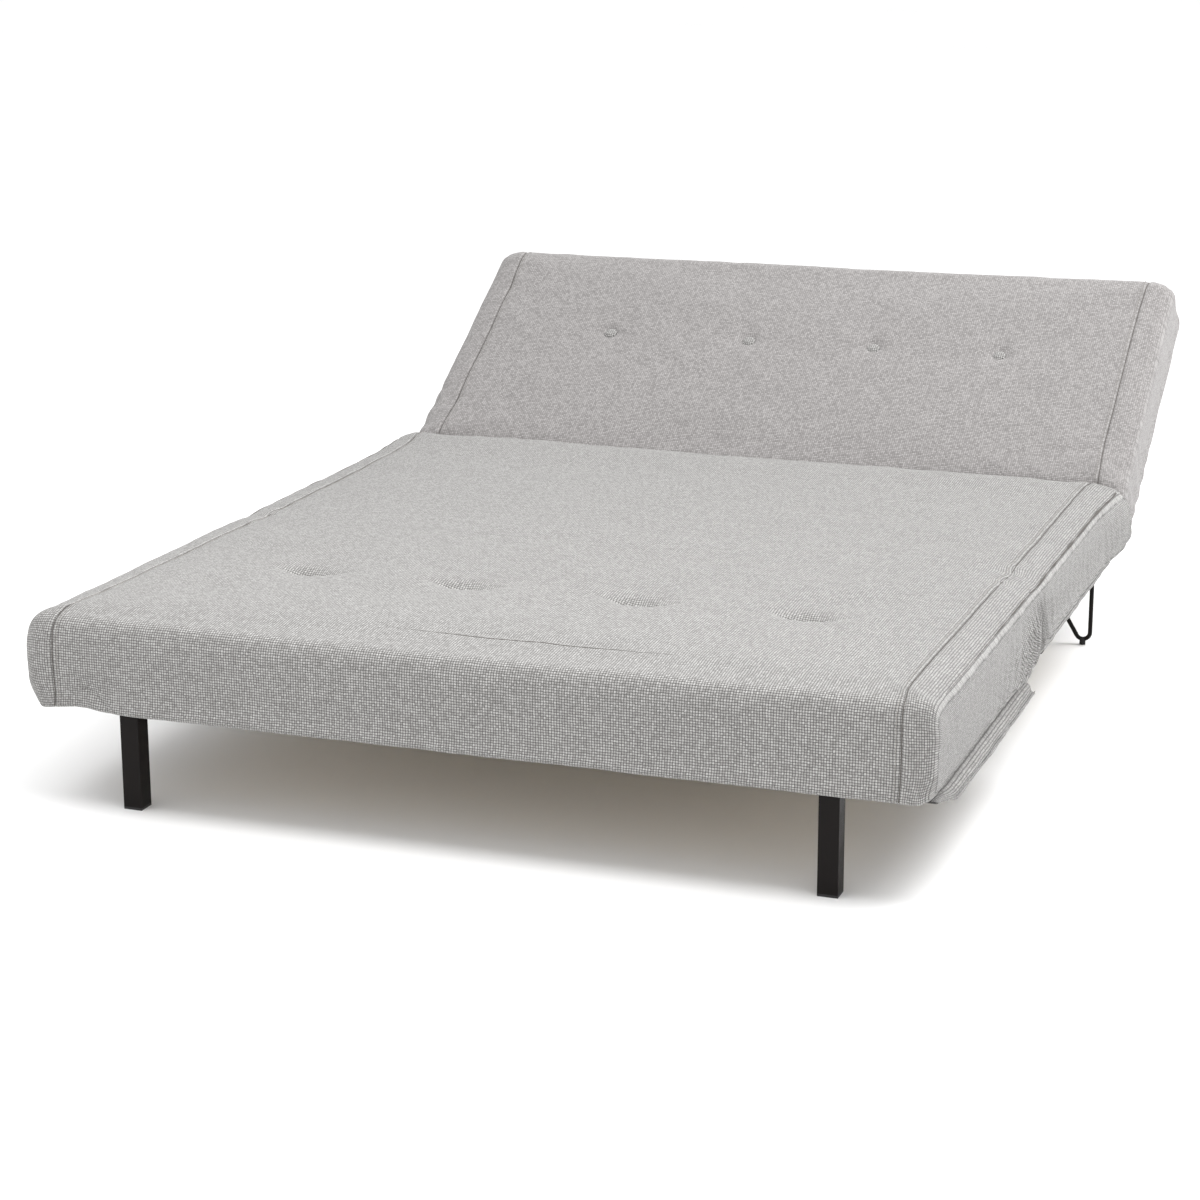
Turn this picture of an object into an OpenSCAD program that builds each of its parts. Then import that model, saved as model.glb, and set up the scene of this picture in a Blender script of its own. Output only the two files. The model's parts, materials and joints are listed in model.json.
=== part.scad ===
// Fold-out sofa bed: three mattress sections on a steel base with a pull-out front frame.
// Millimetres. +X is the sitter's left, -Y is the front, +Z is up.
// The origin is on the floor at the middle of the overall footprint, as the bed stands unfolded
// with its back raised.

/* [Mattress] */
// Width of every mattress section
bed_w = 1400; // [1300:10:1500]
// Length of the front section, which folds over onto the middle one
front_len = 722; // [700:2:724]
// Underside of the front section above the floor
front_under_z = 158.5; // [158.3:0.1:159.5]
// Top of the lying surface above the floor
top_z = 308; // [300:1:312]
// Underside of the middle section above the floor
mid_under_z = 179; // [178.5:0.1:180]
// Thickness of the backrest
back_t = 116; // [112:1:120]
// Length of the backrest from its hinge to its top edge
back_len = 584; // [570:1:600]
// Radius of the front section's top front edge
front_edge_r = 38; // [20:1:50]
// Radius of the middle section's rear edges
mid_rear_r = 60; // [40:1:62]
// Radius of the backrest's top edges
back_edge_r = 28; // [15:1:40]

/* [Joints] */
// Recline of the backrest above the horizontal, as it stands
rest_angle = 32; // [28:1:38]
// Radius of the backrest's hinge pins
pin_r = 6; // [5:0.5:7]
// Clearance round the hinge pins
pin_gap = 0.05; // [0.03:0.01:0.1]

/* [Front frame] */
// Outer width of a front leg's square tube
leg_w = 30; // [25:1:35]
// Distance between the outer faces of the two front legs
legs_apart = 1118; // [1090:1:1125]
// Front face of the legs behind the front of the mattress
leg_y = 42; // [38:1:44]
// Top of the front frame's bar, beams and legs
frame_top_z = 157.5; // [157:0.1:157.8]
// Depth of the front bar
bar_d = 40; // [35:1:45]
// Height of the front bar
bar_h = 14; // [13:1:20]
// Wall of the legs and the front bar
tube_wall = 1.5; // [1:0.1:2]
// Width of a slat
slat_w = 62; // [50:1:70]
// Thickness of a slat
slat_t = 10; // [9:0.5:10]
// Number of slats in the front frame
front_slat_count = 6; // [4:1:6]
// Number of slats in the base
base_slat_count = 7; // [5:1:7]
// Number of slats in the backrest
back_slat_count = 3; // [2:1:3]

/* [Buttons] */
// Radius of a covered button
button_r = 12; // [10:0.5:14]
// Distance of the row on the front section from its front edge
seat_button_y = 378; // [350:1:400]
// Distance of the row on the backrest from the hinge
back_button_u = 320; // [290:1:340]

/* [Hidden] */
$fn = 48;

fabric_colour = [0.77, 0.765, 0.75];
steel_colour = [0.09, 0.08, 0.075];
wood_colour = [0.80, 0.67, 0.48];
plastic_colour = [0.05, 0.05, 0.05];
zinc_colour = [0.62, 0.63, 0.65];

// the fold between the front and middle sections
fold_y = front_len + 2;
mid_y0 = fold_y + 2;
// the backrest turns about the centre of its rounded lower end
back_r = back_t / 2;
hinge_z = top_z - back_r;
hinge_y = 1504;
mid_y1 = hinge_y - back_r - 4;
// the overall footprint runs from the front section's face to the backrest's rear top edge
back_corner_u = back_len - back_edge_r;
back_corner_v = back_r - back_edge_r;
depth = hinge_y + back_corner_u * cos(rest_angle) + back_corner_v * sin(rest_angle) + back_edge_r;
middle_y = depth / 2;

// base frame
rail_x0 = 618;
rail_x1 = 643;
rail_z0 = 158;
rail_z1 = 178;
rail_y0 = 740;
rail_y1 = 1545;
rear_bar_y = 1414;
rear_bar_d = 26;
base_slat_z = rail_z1 - 1 - slat_t;
// rod legs
rod_r = 4;
rod_x = 655;
rod_y = rear_bar_y + rear_bar_d / 2;
rod_bend_r = 13;
rod_bend_z = 23;
rod_lean = 31;
leg_plate_t = 4;
foot_r = 5.5;
foot_h = 12;
// front frame
beam_x0 = 590;
beam_x1 = 610;
beam_h = 20;
beam_z0 = frame_top_z - beam_h;
bar_y0 = leg_y + leg_w;
bar_y1 = bar_y0 + bar_d;
beam_y1 = 940;
arm_x0 = 655;
arm_x1 = 680;
arm_z0 = 137;
arm_h = 18;
arm_y0 = bar_y0 + 20;
arm_y1 = 700;
leg_x = legs_apart / 2 - leg_w / 2;
leg_foot_h = 4;
leg_bolt_r = 3;
front_slat_z = frame_top_z - 0.5 - slat_t;
shoe_gap = 0.3;
// backrest frame, with u along the backrest and v out of its front face
back_rail_x0 = 654;
back_rail_w = 20;
back_rail_u0 = 40;
back_rail_u1 = back_len - 30;
back_rail_v0 = -48;
plate_t = 5;
bracket_x = rail_x1;
bracket_y0 = hinge_y - 38;
bracket_y1 = hinge_y + 38;
arm_plate_x = bracket_x + plate_t + 1;
holder_w = 12;
// the hand-set buttons are not quite evenly spaced
seat_button_xs = [-400, -135, 150, 415];
back_button_xs = [-388, -98, 155, 403];

// Shared shapes

module placed() {
    translate([0, -middle_y, 0]) children();
}

// the left-hand piece is drawn at +X, and the right-hand piece is its mirror image
module other_side() {
    mirror([1, 0, 0]) children();
}

// a rectangular tube along X, from its lower front corner
module tube_x(x0, x1, y, z, d, h) {
    translate([x0, y, z]) difference() {
        cube([x1 - x0, d, h]);
        translate([-1, tube_wall, tube_wall])
            cube([x1 - x0 + 2, d - 2 * tube_wall, h - 2 * tube_wall]);
    }
}

// a rectangular tube along Y, from its lower inner corner
module tube_y(x, y0, y1, z, w, h) {
    translate([x, y0, z]) difference() {
        cube([w, y1 - y0, h]);
        translate([tube_wall, -1, tube_wall])
            cube([w - 2 * tube_wall, y1 - y0 + 2, h - 2 * tube_wall]);
    }
}

module rod_x(r, x0, x1) {
    translate([x0, 0, 0]) rotate([0, 90, 0]) cylinder(r = r, h = x1 - x0);
}

// a bar of rounded section along X, through circles given as [y, z, r]
module soft_bar(corners, x_half) {
    hull() for (c = corners)
        translate([0, c[0], c[1]]) rod_x(c[2], -x_half, x_half, $fn = 40);
}

module slat(x_half, y, z) {
    translate([-x_half, y, z]) cube([2 * x_half, slat_w, slat_t]);
}

// a pair of plastic holders at the two ends of one slat
module slat_holder_pair(x_face, x_half, y, z) {
    for (side = [0, 1]) mirror([side, 0, 0]) difference() {
        translate([x_face - holder_w, y - 3, z - 3]) cube([holder_w, slat_w + 6, slat_t + 3.5]);
        translate([0, y, z]) cube([x_half, slat_w, slat_t]);
    }
}

// a round-topped cover button whose flat underside is at z = 0
module button() {
    cylinder(r = button_r, h = 3);
    translate([0, 0, 3]) intersection() {
        translate([0, 0, -20]) sphere(r = norm([button_r, 20]));
        cylinder(r = button_r, h = 10);
    }
}

// Base

base_slat_y0 = rail_y0 + 45;

function base_slat_y(i) = base_slat_y0 + i * (rear_bar_y - 6 - slat_w - base_slat_y0) / (base_slat_count - 1);

module rail() {
    difference() {
        tube_y(rail_x0, rail_y0, rail_y1, rail_z0, rail_x1 - rail_x0, rail_z1 - rail_z0);
        bracket_bolt_axes() rod_x(4.2, rail_x0 - 1, rail_x1 + 1);
    }
}

module base_rail_left() {
    color(steel_colour) placed() rail();
}

module base_rail_right() {
    color(steel_colour) placed() other_side() rail();
}

module base_front_bar() {
    color(steel_colour) placed()
        tube_x(-rail_x0, rail_x0, rail_y0, rail_z0, 25, rail_z1 - rail_z0);
}

module base_rear_bar() {
    color(steel_colour) placed()
        tube_x(-rail_x0, rail_x0, rear_bar_y, rail_z0, rear_bar_d, rail_z1 - rail_z0);
}

// one bent rod in an upright plane: straight down from its plate on the outside, round a tight
// bend, then leaning inwards up to the rear bar, swept with ten sides
rod_bend = [for (a = [0 : -15 : rod_lean - 180]) [rod_x + rod_bend_r * (cos(a) - 1), rod_bend_z + rod_bend_r * sin(a)]];
rod_turn = [rod_x - rod_bend_r * (1 + cos(rod_lean)), rod_bend_z - rod_bend_r * sin(rod_lean)];
rod_top = [rod_turn[0] - (rail_z0 - rod_turn[1]) * tan(rod_lean), rail_z0];
rod_path = concat([[rod_x, rail_z0 - leg_plate_t]], rod_bend, [rod_turn, rod_top]);
rod_sides = 10;

// direction of the path at its point i
function rod_way(i) = let (step = rod_path[min(i + 1, len(rod_path) - 1)] - rod_path[max(i - 1, 0)])
    step / norm(step);

// the rings are cut level where the rod meets the plate and the bar
function rod_ring(i) = let (way = rod_way(i), level = i == 0 || i == len(rod_path) - 1)
    [for (k = [0 : rod_sides - 1]) let (a = 360 * k / rod_sides, side = rod_r * cos(a))
        level ? [rod_path[i][0] - side / way[1], rod_y + rod_r * sin(a), rod_path[i][1]]
              : [rod_path[i][0] - side * way[1], rod_y + rod_r * sin(a), rod_path[i][1] + side * way[0]]];

module leg_rod() {
    rings = len(rod_path);
    polyhedron(
        points = [for (i = [0 : rings - 1]) each rod_ring(i)],
        faces = concat(
            [[for (k = [0 : rod_sides - 1]) k]],
            [for (i = [0 : rings - 2], k = [0 : rod_sides - 1]) let (n = (k + 1) % rod_sides)
                each [[i * rod_sides + k, (i + 1) * rod_sides + k, (i + 1) * rod_sides + n],
                      [i * rod_sides + k, (i + 1) * rod_sides + n, i * rod_sides + n]]],
            [[for (k = [rod_sides - 1 : -1 : 0]) (rings - 1) * rod_sides + k]]));
}

// small steel plate under the rail, which carries the outer end of the rod
module leg_plate() {
    translate([rail_x0 - 4, rod_y - 15, rail_z0 - leg_plate_t]) cube([rod_x + 6 - rail_x0 + 4, 30, leg_plate_t]);
}

module leg_plate_left() {
    color(steel_colour) placed() leg_plate();
}

module leg_plate_right() {
    color(steel_colour) placed() other_side() leg_plate();
}

module rear_leg_left() {
    color(steel_colour) placed() leg_rod();
}

module rear_leg_right() {
    color(steel_colour) placed() other_side() leg_rod();
}

module rubber_foot() {
    difference() {
        translate([rod_x - rod_bend_r, rod_y, 0]) cylinder(r = foot_r, h = foot_h);
        translate([rod_x - rod_bend_r, rod_y, rod_bend_z]) rotate([90, 0, 0])
            rotate_extrude() translate([rod_bend_r, 0]) circle(r = rod_r + 0.02);
    }
}

module rear_foot_left() {
    color(plastic_colour) placed() rubber_foot();
}

module rear_foot_right() {
    color(plastic_colour) placed() other_side() rubber_foot();
}

module base_slats() {
    color(wood_colour) placed()
        for (i = [0 : base_slat_count - 1]) slat(rail_x0 - 2, base_slat_y(i), base_slat_z);
}

module base_slat_holders() {
    color(plastic_colour) placed() for (i = [0 : base_slat_count - 1])
        slat_holder_pair(rail_x0, rail_x0 - 2, base_slat_y(i), base_slat_z);
}

// steel plate under the rail, which carries the two guide shoes
module guide_plate() {
    translate([rail_x0, 822, 126]) cube([4, 116, rail_z0 - 126]);
}

module guide_plate_left() {
    color(steel_colour) placed() guide_plate();
}

module guide_plate_right() {
    color(steel_colour) placed() other_side() guide_plate();
}

// plastic shoes, open towards the middle, round the sliding beam
module guide_shoe_pair() {
    for (y = [826, 894]) difference() {
        translate([beam_x0, y, beam_z0 - 5]) cube([rail_x0 - beam_x0, 40, beam_h + 10]);
        translate([beam_x0 - 1, y - 1, beam_z0 - shoe_gap])
            cube([beam_x1 - beam_x0 + 1 + shoe_gap, 42, beam_h + 2 * shoe_gap]);
    }
}

module guide_shoes_left() {
    color(plastic_colour) placed() guide_shoe_pair();
}

module guide_shoes_right() {
    color(plastic_colour) placed() other_side() guide_shoe_pair();
}

module bracket_bolt_axes() {
    for (dy = [-24, 24]) translate([0, hinge_y + dy, (rail_z0 + rail_z1) / 2]) children();
}

// upright plate bolted to the rail, with the bore for the hinge pin
module bracket() {
    difference() {
        translate([bracket_x, 0, 0]) rotate([90, 0, 90]) linear_extrude(plate_t) {
            polygon([[bracket_y0, rail_z0], [bracket_y1, rail_z0],
                     [bracket_y1, rail_z1 + 6], [hinge_y + 18, hinge_z],
                     [hinge_y - 18, hinge_z], [bracket_y0, rail_z1 + 6]]);
            translate([hinge_y, hinge_z]) circle(r = 20);
        }
        translate([0, hinge_y, hinge_z]) rod_x(pin_r + pin_gap, bracket_x - 1, bracket_x + plate_t + 1);
        bracket_bolt_axes() rod_x(4.2, bracket_x - 1, bracket_x + plate_t + 1);
    }
}

module hinge_bracket_left() {
    color(steel_colour) placed() bracket();
}

module hinge_bracket_right() {
    color(steel_colour) placed() other_side() bracket();
}

// headed pin through the bracket and the moving arm
module hinge_pin() {
    translate([0, hinge_y, hinge_z]) {
        rod_x(pin_r, bracket_x - 3, arm_plate_x + plate_t + 1);
        rod_x(10, bracket_x - 5, bracket_x - 0.3);
        rod_x(9, arm_plate_x + plate_t + 0.3, arm_plate_x + plate_t + 4);
    }
}

module hinge_pin_left() {
    color(zinc_colour) placed() hinge_pin();
}

module hinge_pin_right() {
    color(zinc_colour) placed() other_side() hinge_pin();
}

module bracket_bolts() {
    color(zinc_colour) placed() for (side = [0, 1]) mirror([side, 0, 0])
        bracket_bolt_axes() {
            rod_x(4, rail_x0 - 6, bracket_x + plate_t);
            rod_x(7, bracket_x + plate_t, bracket_x + plate_t + 4.5, $fn = 6);
            rod_x(6.5, rail_x0 - 6, rail_x0, $fn = 6);
        }
}

module base_end_caps() {
    color(plastic_colour) placed() for (side = [0, 1]) mirror([side, 0, 0]) {
        translate([rail_x0, rail_y0 - 2, rail_z0]) cube([25, 2, 20]);
        translate([rail_x0, rail_y1, rail_z0]) cube([25, 2, 20]);
    }
}

module middle_cushion() {
    color(fabric_colour) placed() soft_bar([
        [mid_y0 + 8, mid_under_z + 8, 8],
        [mid_y0 + 6, top_z - 6, 6],
        [mid_y1 - mid_rear_r, top_z - mid_rear_r, mid_rear_r],
        [mid_y1 - mid_rear_r, mid_under_z + mid_rear_r, mid_rear_r]], bed_w / 2);
}

// Pull-out front frame

function front_slat_y(i) = bar_y1 + 12 + i * (arm_y1 - bar_y1 - 18 - slat_w) / (front_slat_count - 1);

module leg_bolt_axes() {
    for (dx = [-8, 8]) translate([leg_x + dx, 0, frame_top_z - bar_h / 2]) children();
}

module front_bar() {
    color(steel_colour) placed() difference() {
        tube_x(-arm_x0, arm_x0, bar_y0, frame_top_z - bar_h, bar_d, bar_h);
        for (side = [0, 1]) mirror([side, 0, 0]) leg_bolt_axes()
            translate([0, bar_y0 - 1, 0]) rotate([-90, 0, 0]) cylinder(r = leg_bolt_r + 0.2, h = bar_d + 2);
    }
}

module side_arm() {
    tube_y(arm_x0, arm_y0, arm_y1, arm_z0, arm_x1 - arm_x0, arm_h);
}

module side_arm_left() {
    color(steel_colour) placed() side_arm();
}

module side_arm_right() {
    color(steel_colour) placed() other_side() side_arm();
}

module slide_beam() {
    tube_y(beam_x0, bar_y1, beam_y1, beam_z0, beam_x1 - beam_x0, beam_h);
}

module slide_beam_left() {
    color(steel_colour) placed() slide_beam();
}

module slide_beam_right() {
    color(steel_colour) placed() other_side() slide_beam();
}

// square tube leg, closed at the top
module front_leg() {
    difference() {
        translate([leg_x - leg_w / 2, leg_y, leg_foot_h]) cube([leg_w, leg_w, frame_top_z - leg_foot_h]);
        translate([leg_x - leg_w / 2 + tube_wall, leg_y + tube_wall, leg_foot_h - 1])
            cube([leg_w - 2 * tube_wall, leg_w - 2 * tube_wall, frame_top_z - leg_foot_h - tube_wall + 1]);
        leg_bolt_axes() translate([0, bar_y0 - 5, 0])
            rotate([-90, 0, 0]) cylinder(r = leg_bolt_r + 0.2, h = 10);
    }
}

module front_leg_left() {
    color(steel_colour) placed() front_leg();
}

module front_leg_right() {
    color(steel_colour) placed() other_side() front_leg();
}

// plastic glide with a plug that fills the end of the leg
module leg_foot() {
    translate([leg_x - leg_w / 2, leg_y, 0]) {
        cube([leg_w, leg_w, leg_foot_h]);
        translate([tube_wall, tube_wall, leg_foot_h])
            cube([leg_w - 2 * tube_wall, leg_w - 2 * tube_wall, 14]);
    }
}

module leg_foot_left() {
    color(plastic_colour) placed() leg_foot();
}

module leg_foot_right() {
    color(plastic_colour) placed() other_side() leg_foot();
}

module leg_bolts() {
    color(zinc_colour) placed() for (side = [0, 1]) mirror([side, 0, 0])
        leg_bolt_axes() {
            translate([0, bar_y0 - 7, 0]) rotate([-90, 0, 0]) cylinder(r = leg_bolt_r, h = bar_d + 7);
            translate([0, bar_y0 - 6, 0]) rotate([-90, 0, 0])
                cylinder(r = 5, h = 6 - tube_wall, $fn = 6);
            translate([0, bar_y1, 0]) rotate([-90, 0, 0]) cylinder(r = 5.5, h = 4, $fn = 6);
        }
}

module front_slats() {
    color(wood_colour) placed()
        for (i = [0 : front_slat_count - 1]) slat(beam_x0 - 2, front_slat_y(i), front_slat_z);
}

module front_slat_holders() {
    color(plastic_colour) placed() for (i = [0 : front_slat_count - 1])
        slat_holder_pair(beam_x0, beam_x0 - 2, front_slat_y(i), front_slat_z);
}

// fabric sleeve round the side arm, cut out where the front bar meets the arm
module arm_sleeve() {
    difference() {
        translate([arm_x0 - 3, arm_y0 - 4, arm_z0 - 3]) cube([31, arm_y1 - arm_y0 + 10, arm_h + 6]);
        translate([arm_x0 - 1, arm_y0 - 5, arm_z0 - 1]) cube([27, arm_y1 - arm_y0 + 12, arm_h + 2]);
        translate([arm_x0 - 4, bar_y0 - 5, arm_z0 - 4]) cube([4, bar_d + 6, arm_h + 8]);
    }
}

module arm_sleeve_left() {
    color(fabric_colour) placed() arm_sleeve();
}

module arm_sleeve_right() {
    color(fabric_colour) placed() other_side() arm_sleeve();
}

module frame_end_caps() {
    color(plastic_colour) placed() for (side = [0, 1]) mirror([side, 0, 0]) {
        translate([arm_x0, arm_y0 - 1.5, arm_z0]) cube([25, 1.5, arm_h]);
        translate([arm_x0, arm_y1, arm_z0]) cube([25, 2, arm_h]);
        translate([beam_x0, beam_y1, beam_z0]) cube([20, 2, beam_h]);
    }
}

// Front mattress section, with pockets in its underside for the buttons

module front_cushion() {
    color(fabric_colour) placed() difference() {
        soft_bar([
            [front_edge_r, top_z - front_edge_r, front_edge_r],
            [8, front_under_z + 8, 8],
            [front_len - 6, top_z - 6, 6],
            [front_len - 8, front_under_z + 8, 8]], bed_w / 2);
        for (x = seat_button_xs) translate([x, seat_button_y, front_under_z - 1]) cylinder(r = button_r + 2, h = 11);
    }
}

module seat_buttons() {
    color(fabric_colour) placed() for (x = seat_button_xs)
        translate([x, seat_button_y, front_under_z + 10]) rotate([180, 0, 0]) button();
}

// Backrest, drawn lying flat about its hinge and then raised

module raised() {
    placed() translate([0, hinge_y, hinge_z]) rotate([rest_angle, 0, 0]) children();
}

module back_rail() {
    difference() {
        tube_y(back_rail_x0, back_rail_u0, back_rail_u1, back_rail_v0, back_rail_w, 20);
        arm_bolt_axes() rod_x(4.2, back_rail_x0 - 1, back_rail_x0 + back_rail_w + 1);
    }
}

module back_rail_left() {
    color(steel_colour) raised() back_rail();
}

module back_rail_right() {
    color(steel_colour) raised() other_side() back_rail();
}

module back_bottom_bar() {
    color(steel_colour) raised() tube_x(-arm_plate_x, arm_plate_x, 62, back_rail_v0, 20, 20);
}

module back_top_bar() {
    color(steel_colour) raised()
        tube_x(-back_rail_x0, back_rail_x0, back_rail_u1 - 20, back_rail_v0, 20, 20);
}

function back_slat_u(i) = 175 + i * (back_rail_u1 - 40 - slat_w - 175) / (back_slat_count - 1);

module back_slats() {
    color(wood_colour) raised()
        for (i = [0 : back_slat_count - 1]) slat(back_rail_x0 - 2, back_slat_u(i), -43);
}

module back_slat_holders() {
    color(plastic_colour) raised() for (i = [0 : back_slat_count - 1])
        slat_holder_pair(back_rail_x0, back_rail_x0 - 2, back_slat_u(i), -43);
}

module arm_bolt_axes() {
    for (u = [90, 140]) translate([0, u, back_rail_v0 + 10]) children();
}

// moving plate of the hinge, bored for the pin and bolted to the backrest's rail
module hinge_arm() {
    difference() {
        union() {
            rod_x(20, arm_plate_x, arm_plate_x + plate_t);
            translate([arm_plate_x, 0, 0]) rotate([90, 0, 90]) linear_extrude(plate_t)
                polygon([[-12, 0], [12, 12], [75, back_rail_v0 + 20], [160, back_rail_v0 + 20],
                         [160, back_rail_v0], [back_rail_u0, back_rail_v0]]);
        }
        rod_x(pin_r + pin_gap, arm_plate_x - 1, arm_plate_x + plate_t + 1);
        arm_bolt_axes() rod_x(4.2, arm_plate_x - 1, arm_plate_x + plate_t + 1);
    }
}

module hinge_arm_left() {
    color(steel_colour) raised() hinge_arm();
}

module hinge_arm_right() {
    color(steel_colour) raised() other_side() hinge_arm();
}

module arm_bolts() {
    color(zinc_colour) raised() for (side = [0, 1]) mirror([side, 0, 0])
        arm_bolt_axes() {
            rod_x(4, arm_plate_x - 4, back_rail_x0 + back_rail_w + 1);
            rod_x(7, arm_plate_x - 5, arm_plate_x, $fn = 6);
        }
}

// rounded pad with a hollow at the rear for the frame and a notch at each end for the hinge
module back_cushion() {
    color(fabric_colour) raised() difference() {
        soft_bar([
            [0, 0, back_r],
            [back_corner_u, back_corner_v, back_edge_r],
            [back_corner_u, -back_corner_v, back_edge_r]], bed_w / 2);
        translate([-678, 36, -back_r - 2]) cube([1356, back_len - 62, 34]);
        for (side = [0, 1]) mirror([side, 0, 0])
            translate([632, -back_r - 1, -back_r - 1]) cube([46, back_r + 85, back_t + 2 - 30]);
        for (x = back_button_xs) translate([x, back_button_u, back_r - 10]) cylinder(r = button_r + 2, h = 11);
    }
}

module back_buttons() {
    color(fabric_colour) raised() for (x = back_button_xs)
        translate([x, back_button_u, back_r - 10]) button();
}

// thin cloth that closes the rear of the backrest
module back_dust_cover() {
    color(plastic_colour) raised()
        translate([-677.5, 86, -back_r]) cube([1355, back_len - 112.5, 2.5]);
}

base_rail_left();
base_rail_right();
base_front_bar();
base_rear_bar();
leg_plate_left();
leg_plate_right();
rear_leg_left();
rear_leg_right();
rear_foot_left();
rear_foot_right();
base_slats();
base_slat_holders();
guide_plate_left();
guide_plate_right();
guide_shoes_left();
guide_shoes_right();
hinge_bracket_left();
hinge_bracket_right();
hinge_pin_left();
hinge_pin_right();
bracket_bolts();
base_end_caps();
middle_cushion();
front_bar();
side_arm_left();
side_arm_right();
slide_beam_left();
slide_beam_right();
front_leg_left();
front_leg_right();
leg_foot_left();
leg_foot_right();
leg_bolts();
front_slats();
front_slat_holders();
arm_sleeve_left();
arm_sleeve_right();
frame_end_caps();
front_cushion();
seat_buttons();
back_rail_left();
back_rail_right();
back_bottom_bar();
back_top_bar();
back_slats();
back_slat_holders();
hinge_arm_left();
hinge_arm_right();
arm_bolts();
back_cushion();
back_buttons();
back_dust_cover();
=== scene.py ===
"""Futon sofa bed, opened flat with its back raised: fabric, finishes, light and camera."""

import json
import math

import bpy
import numpy as np
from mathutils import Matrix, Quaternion, Vector


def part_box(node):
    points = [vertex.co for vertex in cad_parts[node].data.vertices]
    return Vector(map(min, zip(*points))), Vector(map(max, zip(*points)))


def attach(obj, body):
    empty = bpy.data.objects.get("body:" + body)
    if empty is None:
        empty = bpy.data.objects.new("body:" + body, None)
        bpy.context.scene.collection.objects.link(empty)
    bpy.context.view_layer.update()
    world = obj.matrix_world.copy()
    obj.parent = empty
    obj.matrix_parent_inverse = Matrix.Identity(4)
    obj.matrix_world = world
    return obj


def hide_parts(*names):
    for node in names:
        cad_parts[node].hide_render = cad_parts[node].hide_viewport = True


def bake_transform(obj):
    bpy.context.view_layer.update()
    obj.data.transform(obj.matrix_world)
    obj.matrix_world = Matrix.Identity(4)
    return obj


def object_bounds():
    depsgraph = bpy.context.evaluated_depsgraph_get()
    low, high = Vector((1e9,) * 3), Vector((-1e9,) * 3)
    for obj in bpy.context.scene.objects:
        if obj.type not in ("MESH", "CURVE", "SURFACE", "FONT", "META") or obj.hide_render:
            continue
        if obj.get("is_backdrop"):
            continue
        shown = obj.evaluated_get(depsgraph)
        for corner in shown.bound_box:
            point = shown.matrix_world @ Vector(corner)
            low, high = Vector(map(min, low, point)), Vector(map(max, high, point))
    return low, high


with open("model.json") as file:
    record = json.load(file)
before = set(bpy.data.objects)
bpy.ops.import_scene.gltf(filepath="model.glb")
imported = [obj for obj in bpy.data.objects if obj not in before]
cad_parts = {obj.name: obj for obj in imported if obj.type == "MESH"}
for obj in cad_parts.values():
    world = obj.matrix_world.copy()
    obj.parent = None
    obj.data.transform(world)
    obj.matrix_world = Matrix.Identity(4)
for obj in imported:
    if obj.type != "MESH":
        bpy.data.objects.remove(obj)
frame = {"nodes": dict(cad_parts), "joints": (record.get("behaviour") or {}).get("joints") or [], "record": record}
cad_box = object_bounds()

# ---------------------------------------------------------------- places, all from the frame
FRONT_LOW, FRONT_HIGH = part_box("front_cushion")
MIDDLE_LOW, MIDDLE_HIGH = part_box("middle_cushion")
JOINTS = {j["name"]: j for j in frame["joints"]}
HALF_W = FRONT_HIGH.x
FRONT_Y = FRONT_LOW.y
TOP_Z = FRONT_HIGH.z
SEAT_UNDER = FRONT_LOW.z
MIDDLE_UNDER = MIDDLE_LOW.z
REAR = MIDDLE_HIGH.y - FRONT_Y
FOLD = (FRONT_HIGH.y + MIDDLE_LOW.y) / 2 - FRONT_Y
HINGE = Vector(JOINTS["back_recline"]["pos_m"])
HINGE.x = 0.0
BACK_R = TOP_Z - HINGE.z

SEAM_IN = 0.050  # the sewn seams run this far inside both side edges
CELL = 0.0040  # side of one square of the basket weave
FOLD_EASE = 0.034  # the weave is gathered within this distance of the fold line


def rest_direction():
    """The way up the backrest as it stands: the long side of its thin rear cloth."""
    co = np.array([v.co[1:] for v in frame["nodes"]["back_dust_cover"].data.vertices])
    y, z = np.linalg.svd(co - co.mean(axis=0))[2][0]
    return Vector((0, abs(y), abs(z))).normalized()


BACK_U = rest_direction()
BACK_N = Vector((0, -BACK_U.z, BACK_U.y))


def bed_point(x, a, t):
    """A point on the mattress: x across, a behind its front face, t above the floor."""
    return Vector((x, FRONT_Y + a, t))


def back_point(x, u, v):
    """A point on the backrest: u up from its hinge line, v out of its front."""
    return HINGE + Vector((x, 0, 0)) + BACK_U * u + BACK_N * v


def back_length():
    """From the hinge line to the top edge of the backrest."""
    co = np.array([v.co for v in frame["nodes"]["back_cushion"].data.vertices]) - np.array(HINGE)
    return float((co @ np.array(BACK_U)).max())


BACK_LEN = back_length()


def islands(node):
    """Centre of each separate solid in a CAD node."""
    mesh = frame["nodes"][node].data
    owner = list(range(len(mesh.vertices)))

    def root(i):
        while owner[i] != i:
            owner[i] = owner[owner[i]]
            i = owner[i]
        return i

    for edge in mesh.edges:
        owner[root(edge.vertices[0])] = root(edge.vertices[1])
    groups = {}
    for vertex in mesh.vertices:
        groups.setdefault(root(vertex.index), []).append(vertex.co)
    boxes = [(np.min(g, axis=0), np.max(g, axis=0)) for g in (np.array(g) for g in groups.values())]
    merged = []
    for low, high in sorted(boxes, key=lambda b: b[0][0]):
        if merged and low[0] < merged[-1][1][0]:
            merged[-1] = (np.minimum(low, merged[-1][0]), np.maximum(high, merged[-1][1]))
        else:
            merged.append((low, high))
    return [Vector((low + high) / 2) for low, high in merged]


SEAT_BUTTONS = islands("seat_buttons")
BACK_BUTTONS = islands("back_buttons")


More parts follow.
